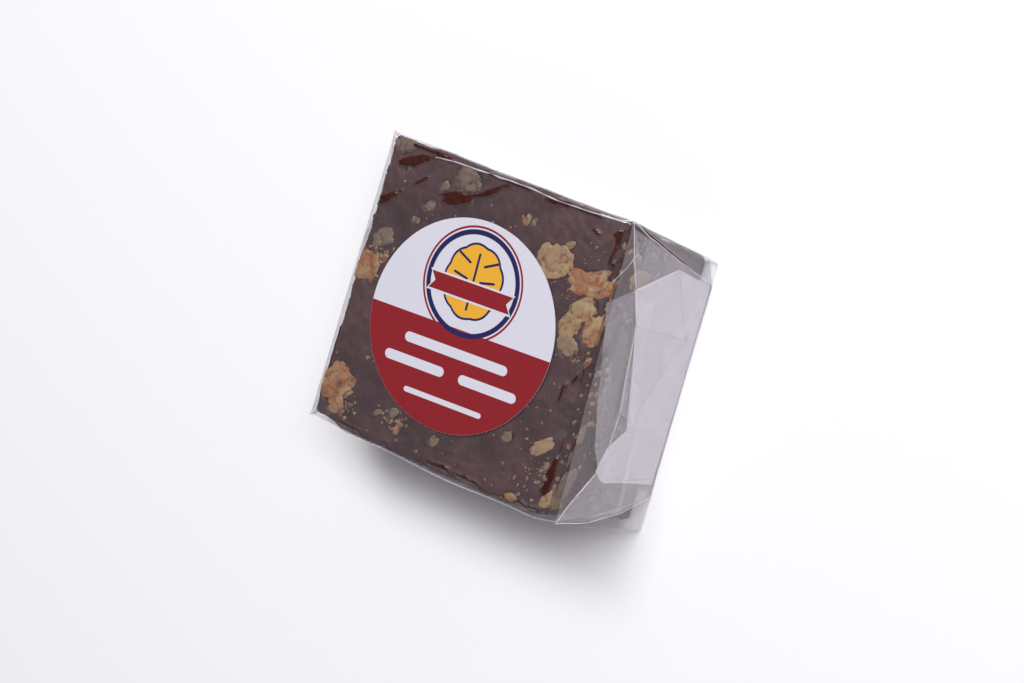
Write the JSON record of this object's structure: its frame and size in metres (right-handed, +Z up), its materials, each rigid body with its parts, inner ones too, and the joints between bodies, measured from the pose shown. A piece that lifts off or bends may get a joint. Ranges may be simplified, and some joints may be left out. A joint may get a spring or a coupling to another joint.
{
  "type": "walnut fudge wrapped in film",
  "caption": "Square block of chocolate walnut fudge in clear film with folded ends, a round sticker on its broad face.",
  "frame": {"origin": "middle of the flat base that the pack lies on, under the middle of its bounding box", "axes": "+Z up out of the face with the sticker, +X along the film tube towards the looser folded end, +Y across the block towards the sticker's top"},
  "size_m": [0.0696, 0.0622, 0.0266],
  "materials": {
    "fudge_in_film": "matt walnut fudge under clear glossy film",
    "sticker": "semi-gloss coated paper, white with a red lower part"
  },
  "bodies": {
    "root": {"wrapped_fudge": "fudge_in_film", "label": "sticker"}
  },
  "joints": []
}
